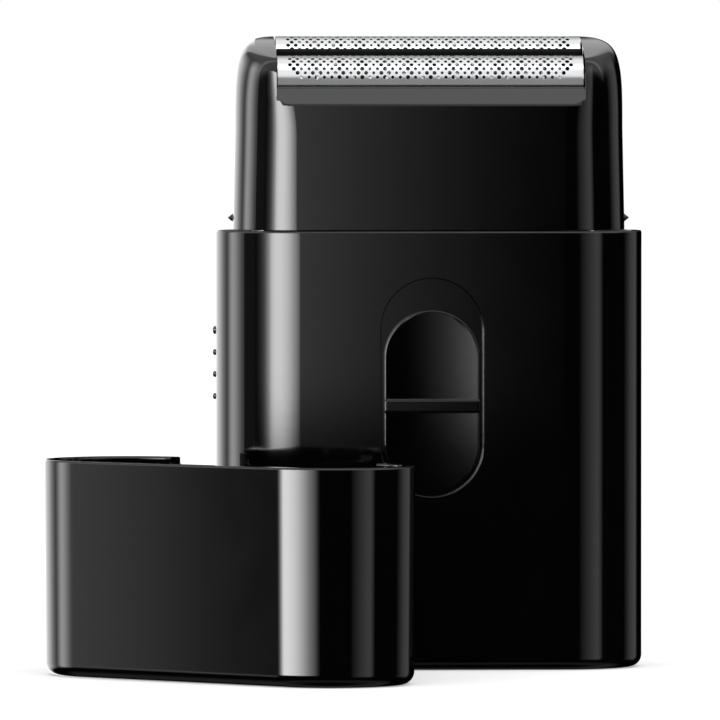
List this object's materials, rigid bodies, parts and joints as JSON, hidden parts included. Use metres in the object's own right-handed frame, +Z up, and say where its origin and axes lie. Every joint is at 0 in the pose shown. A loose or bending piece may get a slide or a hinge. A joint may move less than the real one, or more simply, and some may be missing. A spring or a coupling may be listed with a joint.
{
  "type": "electric shaver",
  "caption": "Pocket foil shaver: flat round-ended body with a sliding thumb switch, tilted perforated foils over reciprocating cutters, and its travel cap standing beside it.",
  "frame": {"origin": "centre of the flat underside of the housing, on the surface that the shaver stands on", "axes": "+Z up through the foils, -Y towards the front with the thumb switch, +X to the right as seen from the front"},
  "size_m": [0.0871, 0.0692, 0.0916],
  "materials": {
    "gloss_black": "high-gloss black",
    "satin_black": "satin black",
    "inner_plastic": "matt dark grey",
    "rubber": "matt",
    "foil_steel": "bright rolled foil",
    "blade_steel": "ground",
    "steel": "plated",
    "brass": "satin",
    "copper": "enamelled windings",
    "magnet": "sintered",
    "cell_wrap": "shrink wrapped",
    "board_green": "solder mask",
    "light_lens": "smoked clear",
    "red_wire": "insulated",
    "black_wire": "insulated"
  },
  "bodies": {
    "housing": {"main_housing": "gloss_black", "head_shell": "gloss_black", "deck_plate": "satin_black", "control_chip": "satin_black", "motor_end_bell": "inner_plastic", "inner_frame": "inner_plastic", "usb_tongue": "inner_plastic", "deck_gasket": "rubber", "drive_boot": "rubber", "deck_screw_left": "steel", "deck_screw_right": "steel", "guide_pin_front": "steel", "guide_pin_rear": "steel", "motor_can": "steel", "motor_screw_left": "steel", "motor_screw_right": "steel", "board_screw_left": "steel", "board_screw_right": "steel", "usb_socket": "steel", "battery_tab_plus": "steel", "battery_tab_minus": "steel", "motor_bushing": "brass", "motor_terminal_left": "brass", "motor_terminal_right": "brass", "magnet_left": "magnet", "magnet_right": "magnet", "battery_cell": "cell_wrap", "circuit_board": "board_green", "gauge_board": "board_green", "charge_light": "light_lens", "gauge_light_1": "light_lens", "gauge_light_2": "light_lens", "gauge_light_3": "light_lens", "gauge_light_4": "light_lens", "battery_lead_plus": "red_wire", "motor_lead_plus": "red_wire", "battery_lead_minus": "black_wire", "motor_lead_minus": "black_wire"},
    "switch": {"switch_knob": "gloss_black", "switch_slider": "inner_plastic", "contact_wiper": "brass"},
    "cassette": {"cassette_frame": "satin_black", "front_foil": "foil_steel", "rear_foil": "foil_steel", "foil_divider": "satin_black"},
    "rotor": {"armature": "copper", "eccentric_cam": "brass"},
    "oscillator": {"oscillator": "inner_plastic", "front_cutter_spring": "steel", "rear_cutter_spring": "steel"},
    "front_cutter": {"front_blade_block": "blade_steel", "front_cutter_carrier": "inner_plastic"},
    "rear_cutter": {"rear_blade_block": "blade_steel", "rear_cutter_carrier": "inner_plastic"},
    "cap": {"cap_shell": "gloss_black"}
  },
  "joints": [
    {"name": "switch_slide", "type": "slide", "parent": "housing", "child": "switch", "axis": [0, 0, 1], "range_m": [0, 0.0042]},
    {"name": "cap_lift", "type": "slide", "parent": "housing", "child": "cap", "axis": [0, 0, 1], "range_m": [0, 0.06]},
    {"name": "cassette_pull", "type": "slide", "parent": "housing", "child": "cassette", "axis": [0, -0.3256, 0.9455], "range_m": [0, 0.016]},
    {"name": "motor_spin", "type": "hinge", "parent": "housing", "child": "rotor", "pos_m": [0, 0.0016, 0.04], "axis": [0, 0, 1], "continuous": true},
    {"name": "cutter_oscillation", "type": "slide", "parent": "housing", "child": "oscillator", "axis": [1, 0, 0], "range_m": [-0.0006, 0.0006]},
    {"name": "front_cutter_float", "type": "slide", "parent": "oscillator", "child": "front_cutter", "axis": [0, 0.3256, -0.9455], "range_m": [0, 0.0008], "stiffness_N_per_m": 200, "springref_m": -0.002, "deforming": ["front_cutter_spring"]},
    {"name": "rear_cutter_float", "type": "slide", "parent": "oscillator", "child": "rear_cutter", "axis": [0, 0.3256, -0.9455], "range_m": [0, 0.0008], "stiffness_N_per_m": 200, "springref_m": -0.002, "deforming": ["rear_cutter_spring"]}
  ]
}
